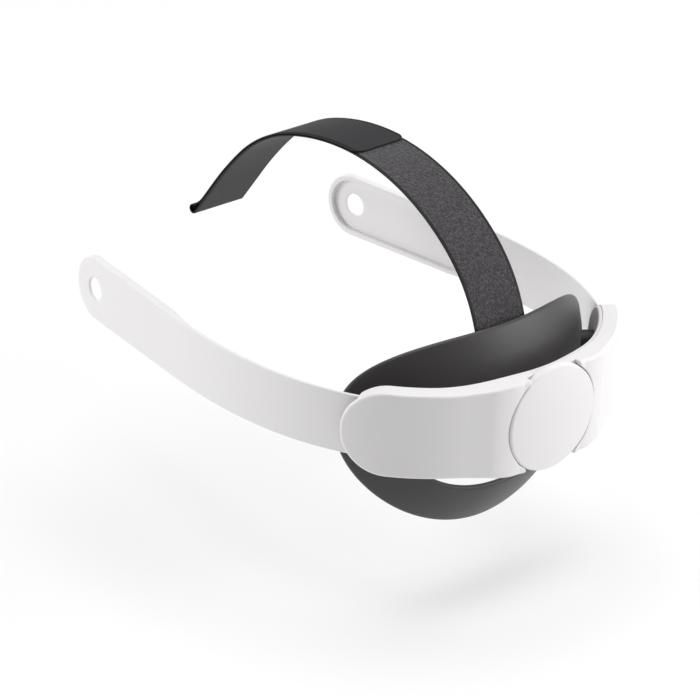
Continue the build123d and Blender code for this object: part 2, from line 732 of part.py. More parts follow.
# Top strap webbing: one band sewn round the anchor bar, over the head and round a fold at the
# front, where the headset's own bar goes through.
lean_in = radians(fold_taper)
sleeve_turn = radians(strap_heading)
strap_start = (bar_y - sleeve_radius * sin(sleeve_turn), bar_z + sleeve_radius * cos(sleeve_turn))
tab_rise = 2 * ply_gap + patch_thickness
closing_radius = (fold_inner_radius * (1 + cos(lean_in)) - tab_rise) / (1 - cos(lean_in))
fold_stretches = strap_stretches + (
    (fold_inner_radius * (pi + lean_in), -degrees(pi + lean_in)),
    (closing_radius * lean_in, fold_taper),
)
webbing_length = sum(length for length, turn in fold_stretches)
with BuildPart() as strap_webbing:
    with BuildSketch(Plane.YZ):
        add(ribbon(strap_start, strap_heading, fold_stretches, 0, webbing_length, 0, webbing))
        with Locations((bar_y, bar_z)):
            Circle(sleeve_radius)
            Circle(sleeve_bore, mode=Mode.SUBTRACT)
    extrude(amount=strap_width / 2, both=True)
finish(strap_webbing, "strap_webbing")

# Return tab: the smooth end of the strap, lying on the webbing from the fold back over the head.
strap_length = sum(length for length, turn in strap_stretches)
tab_end = strap_length - (fold_inner_radius + closing_radius) * sin(lean_in) - ply_gap
with BuildPart() as strap_return_tab:
    with BuildSketch(Plane.YZ):
        add(ribbon(strap_start, strap_heading, strap_stretches, tab_start, tab_end,
                   -tab_rise - webbing, -tab_rise))
    extrude(amount=strap_width / 2, both=True)
finish(strap_return_tab, "strap_return_tab")

# Hook patch: thin hook pad sewn under the tab's free end, gripping the webbing.
with BuildPart() as strap_hook_patch:
    with BuildSketch(Plane.YZ):
        add(ribbon(strap_start, strap_heading, strap_stretches, tab_start, tab_start + patch_length,
                   -ply_gap - patch_thickness, -ply_gap))
    extrude(amount=strap_width / 2 - rim_width, both=True)
finish(strap_hook_patch, "strap_hook_patch")
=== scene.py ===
from math import cos, pi, radians, sin

import bpy
import numpy as np
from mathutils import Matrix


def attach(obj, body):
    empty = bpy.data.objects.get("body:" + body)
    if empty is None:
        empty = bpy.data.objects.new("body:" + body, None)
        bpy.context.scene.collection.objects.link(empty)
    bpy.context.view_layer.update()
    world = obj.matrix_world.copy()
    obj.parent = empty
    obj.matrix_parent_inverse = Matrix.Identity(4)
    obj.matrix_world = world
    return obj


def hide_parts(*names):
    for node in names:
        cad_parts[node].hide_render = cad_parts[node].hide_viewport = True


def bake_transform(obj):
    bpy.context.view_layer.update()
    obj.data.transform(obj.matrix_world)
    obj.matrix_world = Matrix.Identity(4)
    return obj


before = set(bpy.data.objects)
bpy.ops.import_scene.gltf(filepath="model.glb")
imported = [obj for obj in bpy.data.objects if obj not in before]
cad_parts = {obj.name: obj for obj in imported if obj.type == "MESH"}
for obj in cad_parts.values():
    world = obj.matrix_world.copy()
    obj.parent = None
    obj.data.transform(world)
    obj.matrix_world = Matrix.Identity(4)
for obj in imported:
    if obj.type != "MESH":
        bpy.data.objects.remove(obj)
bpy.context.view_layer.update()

import openvdb
from mathutils import Matrix, Vector

head_rest = Vector((0, 0, 0))


# ---------------------------------------------------------------------------------------------
# Camera: a long portrait lens that looks down on the strap from behind the wearer's left side,
# tilted a little, with everything in focus.
turn, tilt, roll = radians(-42.0596), radians(26.4039), radians(2.28517)
aim = Vector((-0.051987, 0.040291, 0.020013))
stand_off = 1.46877

backward = Vector((sin(turn) * cos(tilt), -cos(turn) * cos(tilt), sin(tilt)))
level = Vector((cos(turn), sin(turn), 0))
upright = backward.cross(level)
across = cos(roll) * level + sin(roll) * upright
upward = cos(roll) * upright - sin(roll) * level
lens = bpy.data.cameras.new("portrait_lens")
lens.lens = 190.5
lens.sensor_width = 36
lens.clip_end = 20
camera = bpy.data.objects.new("camera", lens)
camera.matrix_world = Matrix((across, upward, backward)).transposed().to_4x4()
camera.matrix_world.translation = aim + stand_off * backward
bpy.context.scene.collection.objects.link(camera)
bpy.context.scene.camera = camera


# ---------------------------------------------------------------------------------------------
# Floor and light: a white studio table lit from below, with the strap hung a little above it.
# A bounced light falls from above, three soft boxes stand round it and white walls fill in.
floor_drop = 0.083
sweep_reach = 6.0

sweep = bpy.data.meshes.new("sweep")
sweep.from_pydata([(x, y, -floor_drop) for x, y in
                   ((-sweep_reach, -sweep_reach), (sweep_reach, -sweep_reach),
                    (sweep_reach, sweep_reach), (-sweep_reach, sweep_reach))], [], [(0, 1, 2, 3)])
floor = bpy.data.objects.new("floor", sweep)
bpy.context.scene.collection.objects.link(floor)

paper = bpy.data.materials.new("studio_paper")
paper.use_nodes = True
nodes, links = paper.node_tree.nodes, paper.node_tree.links
shader = nodes["Principled BSDF"]
shader.inputs["Roughness"].default_value = 0.9
shader.inputs["Specular IOR Level"].default_value = 0.1
shader.inputs["Emission Color"].default_value = (1, 1, 1, 1)
shader.inputs["Emission Strength"].default_value = 0.50
mottle = nodes.new("ShaderNodeTexNoise")
mottle.inputs["Scale"].default_value = 3.0
tone = nodes.new("ShaderNodeMix")
tone.data_type = "RGBA"
tone.inputs["A"].default_value = (0.39, 0.39, 0.39, 1)
tone.inputs["B"].default_value = (0.41, 0.41, 0.41, 1)
links.new(mottle.outputs["Fac"], tone.inputs["Factor"])
links.new(tone.outputs["Result"], shader.inputs["Base Color"])
sweep.materials.append(paper)

walls = bpy.data.worlds.new("white_walls")
walls.use_nodes = True
walls.node_tree.nodes["Background"].inputs["Color"].default_value = (1, 1, 1, 1)
walls.node_tree.nodes["Background"].inputs["Strength"].default_value = 0.24
bpy.context.scene.world = walls
bpy.context.scene.view_settings.view_transform = "Standard"


def soft_box(name, place, size, power):
    """Square light panel that faces the strap."""
    panel = bpy.data.lights.new(name, "AREA")
    panel.shape = "SQUARE"
    panel.size = size
    panel.energy = power
    light = bpy.data.objects.new(name, panel)
    light.location = place
    light.rotation_euler = (head_rest - Vector(place)).to_track_quat("-Z", "Y").to_euler()
    bpy.context.scene.collection.objects.link(light)


soft_box("right_box", (1.05, -0.95, 0.45), 0.8, 14)
soft_box("left_box", (-1.2, 1.3, 0.3), 0.8, 15)
soft_box("rim_box", (1.4, 0.35, 0.3), 0.6, 2)

ceiling = bpy.data.lights.new("bounced_ceiling", "SUN")
ceiling.energy = 2.4
ceiling.angle = radians(58)
overhead = bpy.data.objects.new("bounced_ceiling", ceiling)
overhead.rotation_euler = (radians(-6), radians(8), 0)
bpy.context.scene.collection.objects.link(overhead)


# ---------------------------------------------------------------------------------------------
# White moulded plastic: the shell, cover, dial and arms come out of spark-eroded moulds, which
# leave a fine even grain. Faint flow marks and handling change the gloss from place to place.
def paint(code):
    """Colour of a six-digit paint code, as light intensities."""
    parts = [int(code[i:i + 2], 16) / 255 for i in (0, 2, 4)]
    return (*(c / 12.92 if c < 0.04045 else ((c + 0.055) / 1.055) ** 2.4 for c in parts), 1)


def moulded_grain():
    """Node group: a grain's colour, roughness and height from two colours and a grain size."""
    group = bpy.data.node_groups.new("moulded_grain", "ShaderNodeTree")
    for name, kind, start in (("Colour", "NodeSocketColor", (0.8, 0.8, 0.8, 1)),
                              ("Flow Colour", "NodeSocketColor", (0.75, 0.75, 0.75, 1)),
                              ("Grains per Metre", "NodeSocketFloat", 2600.0),
                              ("Gloss", "NodeSocketFloat", 0.4)):
        socket = group.interface.new_socket(name, in_out="INPUT", socket_type=kind)
        socket.default_value = start
    group.interface.new_socket("Colour", in_out="OUTPUT", socket_type="NodeSocketColor")
    group.interface.new_socket("Roughness", in_out="OUTPUT", socket_type="NodeSocketFloat")
    group.interface.new_socket("Height", in_out="OUTPUT", socket_type="NodeSocketFloat")
    nodes, links = group.nodes, group.links
    given = nodes.new("NodeGroupInput")
    made = nodes.new("NodeGroupOutput")
    place = nodes.new("ShaderNodeTexCoord")
    grain = nodes.new("ShaderNodeTexNoise")
    grain.inputs["Detail"].default_value = 3
    links.new(place.outputs["Object"], grain.inputs["Vector"])
    links.new(given.outputs["Grains per Metre"], grain.inputs["Scale"])
    flow = nodes.new("ShaderNodeTexNoise")
    flow.inputs["Scale"].default_value = 24
    flow.inputs["Detail"].default_value = 4
    flow.inputs["Distortion"].default_value = 0.6
    links.new(place.outputs["Object"], flow.inputs["Vector"])
    colour = nodes.new("ShaderNodeMix")
    colour.data_type = "RGBA"
    links.new(flow.outputs["Fac"], colour.inputs["Factor"])
    links.new(given.outputs["Colour"], colour.inputs["A"])
    links.new(given.outputs["Flow Colour"], colour.inputs["B"])
    links.new(colour.outputs["Result"], made.inputs["Colour"])
    rough = nodes.new("ShaderNodeMath")
    rough.operation = "MULTIPLY_ADD"
    rough.inputs[1].default_value = 0.14
    links.new(flow.outputs["Fac"], rough.inputs[0])
    links.new(given.outputs["Gloss"], rough.inputs[2])
    speckle = nodes.new("ShaderNodeMath")
    speckle.operation = "MULTIPLY_ADD"
    speckle.inputs[1].default_value = 0.08
    links.new(grain.outputs["Fac"], speckle.inputs[0])
    links.new(rough.outputs["Value"], speckle.inputs[2])
    links.new(speckle.outputs["Value"], made.inputs["Roughness"])
    links.new(grain.outputs["Fac"], made.inputs["Height"])
    return group


grain_group = moulded_grain()


def moulded(name, colour, flow, grains, gloss, depth, coat=0.0, sheen=0.0):
    """Material of a moulding: its two colours, grain, gloss and bump depth in metres."""
    material = bpy.data.materials.new(name)
    material.use_nodes = True
    nodes, links = material.node_tree.nodes, material.node_tree.links
    shader = nodes["Principled BSDF"]
    shader.inputs["Coat Weight"].default_value = coat
    shader.inputs["Coat Roughness"].default_value = 0.35
    shader.inputs["Sheen Weight"].default_value = sheen
    shader.inputs["Sheen Roughness"].default_value = 0.4
    made = nodes.new("ShaderNodeGroup")
    made.node_tree = grain_group
    made.inputs["Colour"].default_value = paint(colour)
    made.inputs["Flow Colour"].default_value = paint(flow)
    made.inputs["Grains per Metre"].default_value = grains
    made.inputs["Gloss"].default_value = gloss
    bump = nodes.new("ShaderNodeBump")
    bump.inputs["Strength"].default_value = 1.0
    bump.inputs["Distance"].default_value = depth
    links.new(made.outputs["Colour"], shader.inputs["Base Color"])
    links.new(made.outputs["Roughness"], shader.inputs["Roughness"])
    links.new(made.outputs["Height"], bump.inputs["Height"])
    links.new(bump.outputs["Normal"], shader.inputs["Normal"])
    return material


white_shell = moulded("white_shell_plastic", "e4e2e3", "e0dedf", grains=2600, gloss=0.36,
                      depth=0.000012)
white_cover = moulded("white_cover_plastic", "e4e2e3", "dfdddd", grains=2600, gloss=0.42,
                      depth=0.000012)
white_dial = moulded("white_dial_plastic", "e6e4e5", "e2e0e1", grains=2600, gloss=0.38,
                     depth=0.000010)
white_strip = moulded("white_arm_plastic", "e6e4e5", "e2e0e1", grains=2400, gloss=0.38,
                      depth=0.000014)


# ---------------------------------------------------------------------------------------------
# Housing shell: an ABS moulding bent round the back of the head, with half-round wings, a flat
# pad and a round seat for the dial, finger cut-outs over and under it, and a channel for the
# strips. It snaps over the back cover, which is screwed on from the head side.
band_stretches = ((0.085, 62.8), (0.035, 17.2), (0.030, 10.0), (0.030, 7.0), (0.078, 0.0))
rear_gap = 0.020


def along_band(distance, inset):
    """Place in plan at a distance along the band, left of the dial if positive, and an inset."""
    left = np.abs(distance)
    x, y, heading = 0 * left, 0 * left - rear_gap, 0 * left + pi
    for number, (length, turned) in enumerate(band_stretches):
        last = number == len(band_stretches) - 1
        step = left if last else np.minimum(left, length)
        left = left - step
        if turned:
            radius = length / radians(turned)
            x, y = x + radius * np.sin(heading), y - radius * np.cos(heading)
            heading = heading - step / radius
            x, y = x - radius * np.sin(heading), y + radius * np.cos(heading)
        else:
            x, y = x + step * np.cos(heading), y + step * np.sin(heading)
    x, y = x + inset * np.sin(heading), y - inset * np.cos(heading)
    return np.where(distance < 0, -x, x), y


def round_band(spots):
    """Band coordinates (distance, inset, height) bent to their place on the object."""
    x, y = along_band(spots[:, 0], spots[:, 1])
    return np.stack((x, y, spots[:, 2]), 1)


def meet(first, second, radius):
    """What lies in both shapes, with the edge between them rounded."""
    corner = np.hypot(np.maximum(radius + first, 0), np.maximum(radius + second, 0))
    return np.minimum(-radius, np.maximum(first, second)) + corner


def cut(body, hole, radius):
    """The body without the hole, with the hole's lip rounded."""
    return meet(body, -hole, radius)


def moulding(name, shape, low, high, cell, placed):
    """Mesh of a shape given by its distance function, bent to its place, with true normals."""
    axes = [np.arange(a, b + c, c) for a, b, c in zip(low, high, cell)]
    field = shape(*np.meshgrid(*axes, indexing="ij")).astype(np.float32)
    volume = openvdb.FloatGrid(1.0)
    volume.copyFromArray(field)
    points, quads = volume.convertToQuads(isovalue=0.0)
    spots = points.astype(float) * cell + low
    nudge = 0.00002

    def steepness(spots):
        """Direction in which the distance grows, at each spot."""
        slopes = []
        for axis in range(3):
            shift = np.zeros(3)
            shift[axis] = nudge
            slopes.append((shape(*(spots + shift).T) - shape(*(spots - shift).T)) / (2 * nudge))
        return np.stack(slopes, 1)

    for _ in range(4):
        slope = steepness(spots)
        miss = shape(*spots.T) / np.maximum((slope ** 2).sum(1), 0.2)
        spots = spots - np.clip(miss, -0.0004, 0.0004)[:, None] * slope
    slope = steepness(spots)
    frames = np.zeros((len(spots), 3, 3))
    for axis in range(3):
        shift = np.zeros(3)
        shift[axis] = nudge
        frames[:, :, axis] = (placed(spots + shift) - placed(spots - shift)) / (2 * nudge)
    normals = np.einsum("nij,ni->nj", np.linalg.inv(frames), slope)
    normals /= np.maximum(np.linalg.norm(normals, axis=1), 1e-9)[:, None]
    spots = placed(spots)
    corners = spots[quads]
    facing = np.cross(corners[:, 2] - corners[:, 0], corners[:, 3] - corners[:, 1])
    if (facing * normals[quads].sum(1)).sum() < 0:
        quads = quads[:, ::-1]
    mesh = bpy.data.meshes.new(name)
    mesh.from_pydata(spots.tolist(), [], quads.tolist())
    mesh.polygons.foreach_set("use_smooth", np.ones(len(quads), bool))
    mesh.normals_split_custom_set_from_vertices(normals.tolist())
    piece = bpy.data.objects.new(name, mesh)
    bpy.context.scene.collection.objects.link(piece)
    return piece


wing_end, wing_half = 0.086, 0.0184
hump_half, hump_flat, hump_fade = 0.0207, 0.012, 0.033
shell_outer, shell_inner, shell_corner = 0.0051, 0.0022, 0.0014
channel_half, channel_outer = 0.0136, 0.0010
deep_channel_outer, deep_channel_start = 0.0033, 0.034
pad_face, pad_half, pad_edge, pad_reach = 0.0235, 0.0245, 0.0032, 0.0419
pad_slope = radians(29.5)
dial_radius, seam = 0.0229, 0.0003
seat_floor, groove_floor, groove_inner = 0.0221, 0.0206, 0.0207
grip_half = 0.0135
lip, sharp_lip = 0.0003, 0.0002


def housing_side_view(distance, x, height):
    """Distance to the housing's outline: a gentle swell at the dial and half-round wing ends."""
    fall = np.clip((np.abs(x) - hump_flat) / hump_fade, 0, 1)
    swell = hump_half + (wing_half - hump_half) * fall ** 2 * (3 - 2 * fall)
    past = np.abs(distance) - (wing_end - wing_half)
    return np.where(past > 0, np.hypot(past, height) - wing_half, np.abs(height) - swell)


def housing_shell_shape(distance, inset, height):
    """The shell with its pad, channel, dial seat and finger cut-outs."""
    x, y = along_band(distance, inset)
    flank = (np.abs(x) - pad_half) * sin(pad_slope) - (y + pad_face) * cos(pad_slope)
    pad = np.maximum(meet(-pad_face - y, flank, pad_edge), np.abs(x) - pad_reach)
    outer = np.minimum(-shell_outer - inset, pad)
    body = meet(housing_side_view(distance, x, height), outer, shell_corner)
    body = meet(body, inset - shell_inner, sharp_lip)
    channel = np.abs(height) - channel_half
    shallow = np.maximum(channel, -channel_outer - inset)
    deep = np.maximum(np.maximum(channel, -deep_channel_outer - inset),
                      deep_channel_start - np.abs(distance))
    body = cut(body, np.minimum(shallow, deep), lip)
    reach = np.hypot(x, height)
    seat = np.maximum(reach - dial_radius - seam, y + seat_floor)
    groove = np.maximum(np.maximum(reach - dial_radius - seam, groove_inner - reach),
                        y + groove_floor)
    grip = np.maximum(np.maximum(np.abs(x) - grip_half, groove_inner - reach), y + groove_floor)
    return cut(body, np.minimum(np.minimum(seat, groove), grip), lip)


shell = moulding("housing_shell_moulding", housing_shell_shape, (-0.0885, -0.0075, -0.0212),
                 (0.0885, 0.0030, 0.0212), (0.0005, 0.00028, 0.00042), round_band)
shell.data.materials.append(white_shell)
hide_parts("housing_shell")
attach(shell, "frame")


# ---------------------------------------------------------------------------------------------
# Back cover: a thin ABS plate on the head side of the shell, rounded where hair and skin touch
# it, with countersinks for eight small screws and a bearing for the dial's shaft.
cover_margin, cover_outer, cover_inner, cover_corner = 0.0004, 0.00225, 0.0039, 0.0009
screw_spots, screw_height, screw_head, screw_seat = (0.036, 0.064), 0.0153, 0.00138, 0.0031
screw_lip, bearing_radius, crisp_lip = 0.00012, 0.00305, 0.0001


def back_cover_shape(distance, inset, height):
    """The plate with its screw seats and the shaft's bearing."""
    x, y = along_band(distance, inset)
    side = housing_side_view(distance, x, height) + cover_margin
    body = meet(side, inset - cover_inner, cover_corner)
    body = meet(body, cover_outer - inset, crisp_lip)
    for spot in screw_spots:
        away = np.hypot(np.abs(distance) - spot, np.abs(height) - screw_height)
        body = cut(body, np.maximum(away - screw_head, screw_seat - inset), screw_lip)
    return cut(body, np.hypot(x, height) - bearing_radius, crisp_lip)


cover = moulding("back_cover_moulding", back_cover_shape, (-0.0885, 0.0018, -0.0212),
                 (0.0885, 0.0043, 0.0212), (0.0005, 0.00022, 0.00042), round_band)
cover.data.materials.append(white_cover)
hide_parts("housing_back_cover")
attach(cover, "frame")


# ---------------------------------------------------------------------------------------------
# Fit dial: a domed ABS cap with a softened rim and a skirt that runs in the shell's groove. A
# ring of notches on its back clicks past the spring. One screw from the head side holds it.
dial_crown, dome_rise, dial_edge, dial_back = 0.026, 0.0024, 0.0009, 0.0209
skirt_inner, skirt_roof = 0.021, 0.0224
ring_middle, ring_half, ring_roof = 0.0113, 0.0033, 0.0237
notch_count, notch_circle, notch_radius = 36, 0.0146, 0.00055
socket_half = 0.00203


def dial_shape(x, y, height):
    """The cap, its skirt, the ratchet ring with its notches and the shaft's square socket."""
    reach = np.hypot(x, height)
    dome_radius = (dial_radius ** 2 + dome_rise ** 2) / (2 * dome_rise)
    dome = np.sqrt(reach ** 2 + (y + dial_crown - dome_radius) ** 2) - dome_radius
    body = meet(np.maximum(reach - dial_radius, y + dial_back), dome, dial_edge)
    body = cut(body, np.maximum(reach - skirt_inner, -skirt_roof - y), sharp_lip)
    ring = np.maximum(np.abs(reach - ring_middle) - ring_half, -ring_roof - y)
    step = 2 * pi / notch_count
    nearest = np.round(np.arctan2(height, x) / step) * step
    notch = np.hypot(x - notch_circle * np.cos(nearest), height - notch_circle * np.sin(nearest))
    ring = np.minimum(ring, np.maximum(notch - notch_radius, -ring_roof - y))
    socket = np.maximum(np.maximum(np.abs(x), np.abs(height)) - socket_half, -ring_roof - y)
    return cut(body, np.minimum(ring, socket), crisp_lip)


dial = moulding("dial_cap", dial_shape, (-0.0236, -0.0268, -0.0236), (0.0236, -0.0202, 0.0236),
                (0.00035, 0.00025, 0.00035), lambda spots: spots)
dial.data.materials.append(white_dial)
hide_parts("dial")
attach(dial, "dial")


# ---------------------------------------------------------------------------------------------
# Side arms: each is one long strip of tough nylon, thin and springy where it slides in the
# housing, then stiffer towards the front, with a dished back, a round tip and the headset's hole.
arm_length, arm_forward = 0.258, 0.2124
arm_start, arm_rear_half, arm_growth, tip_half = 0.054, 0.01295, 0.00125, 0.0142
strip_thickness, thickening, thick_start, thick_run = 0.0014, 0.0020, 0.170, 0.017
outer_edge, inner_edge = 0.0006, 0.0005
pocket_start, pocket_half, pocket_corner, pocket_lip = 0.176, 0.01175, 0.0020, 0.0004
pivot_radius, rivet_distance, rivet_heights, rivet_radius = 0.005, 0.060, (0.009, -0.002), 0.00113


def arm_shape(distance, inset, height):
    """The strip, the stiff section it thickens into, its dished pocket and the pivot hole."""
    x, y = along_band(distance, inset)
    half = arm_rear_half + arm_growth * np.clip((y + rear_gap) / arm_forward, 0, 1)
    past = distance - (arm_length - tip_half)
    from_line = np.where(past > 0, np.hypot(np.maximum(past, 0), height), np.abs(height))
    outline = np.maximum(from_line - np.where(past > 0, tip_half, half), arm_start - distance)
    thickness = strip_thickness + thickening * np.clip((distance - thick_start) / thick_run, 0, 1)
    body = meet(meet(outline, -inset, outer_edge), inset - thickness, inner_edge)
    pocket = meet(from_line - pocket_half, pocket_start - distance, pocket_corner)
    body = cut(body, np.maximum(pocket, strip_thickness - inset), pocket_lip)
    body = cut(body, np.hypot(past, height) - pivot_radius, pocket_lip)
    rivets = np.minimum(*(np.hypot(distance - rivet_distance, height - up) for up in rivet_heights))
    return cut(body, rivets - rivet_radius, crisp_lip)


for side, mirror in (("left", 1), ("right", -1)):
    arm = moulding(side + "_arm_moulding", arm_shape, (0.0528, -0.0008, -0.0152),
                   (0.2592, 0.0042, 0.0152), (0.0006, 0.0002, 0.0004),
                   lambda spots: round_band(spots) * (mirror, 1, mirror))
    arm.data.materials.append(white_strip)
    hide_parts(side + "_strip", side + "_front_arm")
    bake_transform(arm)


# ---------------------------------------------------------------------------------------------
# Head cradle: a ring of soft grey elastomer moulded to the curve of the skull, fuller above than
# below, with rolled edges. Two posts with screws hold its sides to the housing's wings.
cradle_sphere = 0.08534
cradle_middle = np.array((0, 0.0815, -0.00795))
cradle_thickness, cradle_drop = 0.0025, 0.00716
ring_steps, face_steps, edge_steps = 360, 26, 9


def oval(angle, half_width, up, down, power_up, power_down):
    """Point of a ring outline at an angle from the top, in x and height."""
    power = np.where(np.cos(angle) > 0, power_up, power_down)
    rise = np.where(np.cos(angle) > 0, up, down)
    x = half_width * np.sign(np.sin(angle)) * np.abs(np.sin(angle)) ** (2 / power)
    z = rise * np.sign(np.cos(angle)) * np.abs(np.cos(angle)) ** (2 / power)
    return x, z - cradle_drop


angles = np.linspace(0, 2 * pi, ring_steps, endpoint=False)
outside = np.stack(oval(angles, half_width=0.068, up=0.0378, down=0.0532, power_up=2.7,
                        power_down=1.8), 1)
hole = np.stack(oval(angles, half_width=0.0467, up=0.0100, down=0.0325, power_up=2.7,
                     power_down=2.14), 1)
width = np.linalg.norm(outside - hole, axis=1)[:, None]
roll_radius = cradle_thickness / 2
flat = np.linspace(0, 1, face_steps)
bend = np.linspace(0, pi, edge_steps + 2)[1:-1]
from_hole = roll_radius + flat[None, :] * (width - 2 * roll_radius)
outer_roll = width - roll_radius + roll_radius * np.sin(bend)[None, :]
hole_roll = roll_radius - roll_radius * np.sin(bend)[None, :] + 0 * width
shares = np.hstack((from_hole, outer_roll, from_hole[:, ::-1], hole_roll)) / width
depths = np.concatenate((0 * flat, roll_radius * (1 - np.cos(bend)), 0 * flat + cradle_thickness,
                         roll_radius * (1 + np.cos(bend))))
around = len(depths)
plan = hole[:, None, :] + shares[:, :, None] * (outside - hole)[:, None, :]
rise = plan[:, :, 1] - cradle_middle[2]
reach = np.sqrt(cradle_sphere ** 2 - plan[:, :, 0] ** 2 - rise ** 2)
drawn_in = (cradle_sphere - depths[None, :]) / cradle_sphere
spots = np.stack((plan[:, :, 0] * drawn_in, cradle_middle[1] - reach * drawn_in,
                  cradle_middle[2] + rise * drawn_in), 2).reshape(-1, 3)
faces = [(i * around + j, i * around + (j + 1) % around,
          (i + 1) % ring_steps * around + (j + 1) % around, (i + 1) % ring_steps * around + j)
         for i in range(ring_steps) for j in range(around)]
mesh = bpy.data.meshes.new("cradle_moulding")
mesh.from_pydata(spots.tolist(), [], faces)
mesh.polygons.foreach_set("use_smooth", np.ones(len(faces), bool))
cradle = bpy.data.objects.new("cradle_moulding", mesh)
bpy.context.scene.collection.objects.link(cradle)
grey_rubber = moulded("grey_rubber", "343133", "2f2c2e", grains=1900, gloss=0.4, depth=0.00002,
                      sheen=0.15)
cradle.data.materials.append(grey_rubber)
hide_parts("cradle_ring")
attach(cradle, "frame")
for name in ("left_cradle_post", "right_cradle_post"):
    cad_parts[name].data.materials.clear()
    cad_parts[name].data.materials.append(
        moulded(name + "_rubber", "1c1b1d", "181719", grains=1900, gloss=0.5, depth=0.00002))


# ---------------------------------------------------------------------------------------------
# Top strap webbing: a loop-faced knitted band, heat-cut along both edges. It is sewn round the
# anchor bar, goes over the head, folds round the headset's own bar at the front and comes back
# on top of itself, where its smooth brushed side shows.
strap_half = 0.0135
webbing = 0.00065
selvedge = 0.0004
tab_corner = 0.004
bar = (0.0084, 0.019)
sleeve_radius = 0.00255
sleeve_wrap = 300
first_heading = 70
strap_run = ((0.012, 0.0), (0.030, 28.3), (0.036, 22.7), (0.036, 20.6), (0.034, 17.1),
             (0.036, 27.3), (0.026, 7.5), (0.022, 0.0))
fold_inner, fold_taper, ply_rise = 0.0015, 30, 0.0003
stitch = 0.0015
corner_stitch = 0.0002
closing = ((fold_inner * (1 + cos(radians(fold_taper))) - ply_rise)
           / (1 - cos(radians(fold_taper))))
sleeve_run = ((sleeve_radius * radians(sleeve_wrap), sleeve_wrap),)
fold_run = ((fold_inner * radians(180 + fold_taper), -180 - fold_taper),
            (closing * radians(fold_taper), fold_taper))


def strap_line(run, start, heading, low, high, step):
    """Points and headings along a run seen from the side, closer together in tight bends."""
    marks, done = [], 0.0
    for length, turned in run:
        fine = max(2, int(np.ceil(length / step)), int(abs(turned) / 6))
        marks.extend(done + length * k / fine for k in range(fine))
        done += length
    marks = [m for m in marks if low < m < high]
    line = []
    for mark in (low, *marks, min(high, done)):
        y, z, course, left = start[0], start[1], radians(heading), mark
        for length, turned in run:
            part = min(left, length)
            left -= part
            if turned:
                radius = length / radians(turned)
                y, z = y + radius * sin(course), z - radius * cos(course)
                course -= part / radius
                y, z = y - radius * sin(course), z + radius * cos(course)
            else:
                y, z = y + part * cos(course), z + part * sin(course)
        line.append((y, z, course))
    return line


def ply(name, line, half_width, outer, inner, materials, edge_slot, corner):
    """Band of cloth along a line: two faces, rounded edges, and round corners at its last end."""
    across_steps, edge_points = 24, 5
    half = (inner - outer) / 2
    bend = np.linspace(0, pi, edge_points + 2)[1:-1]
    flat = np.linspace(-1, 1, across_steps + 1) * (half_width - selvedge)
    flat[0], flat[-1] = half - half_width, half_width - half
    section = [(x, outer) for x in flat]
    section += [(half_width - half + half * sin(b), outer + half - half * cos(b)) for b in bend]
    section += [(x, inner) for x in flat[::-1]]
    section += [(-half_width + half - half * sin(b), outer + half + half * cos(b)) for b in bend]
    count = len(section)
    steps = np.linalg.norm(np.diff([(y, z) for y, z, course in line], axis=0), axis=1)
    left = np.append(np.cumsum(steps[::-1])[::-1], 0)
    missing = corner - np.sqrt(corner ** 2 - np.maximum(corner - left, 0) ** 2)
    spots = [(x * (1 - gone / half_width), y + depth * sin(course), z - depth * cos(course))
             for (y, z, course), gone in zip(line, missing) for x, depth in section]
    faces = [(i * count + j, i * count + (j + 1) % count, (i + 1) * count + (j + 1) % count,
              (i + 1) * count + j) for i in range(len(line) - 1) for j in range(count)]
    slots = [0 if 0 < j < across_steps - 1 else 1 if across_steps + edge_points + 1 < j
             < 2 * across_steps + edge_points else edge_slot
             for i in range(len(line) - 1) for j in range(count)]
    last = (len(line) - 1) * count
    faces += [tuple(range(count))[::-1], tuple(last + j for j in range(count))]
    slots += [edge_slot, edge_slot]
    mesh = bpy.data.meshes.new(name)
    mesh.from_pydata(spots, [], faces)
    mesh.polygons.foreach_set("use_smooth", np.ones(len(faces), bool))
    for material in materials:
        mesh.materials.append(material)
    mesh.polygons.foreach_set("material_index", np.array(slots, np.int32))
    piece = bpy.data.objects.new(name, mesh)
    bpy.context.scene.collection.objects.link(piece)
    return piece


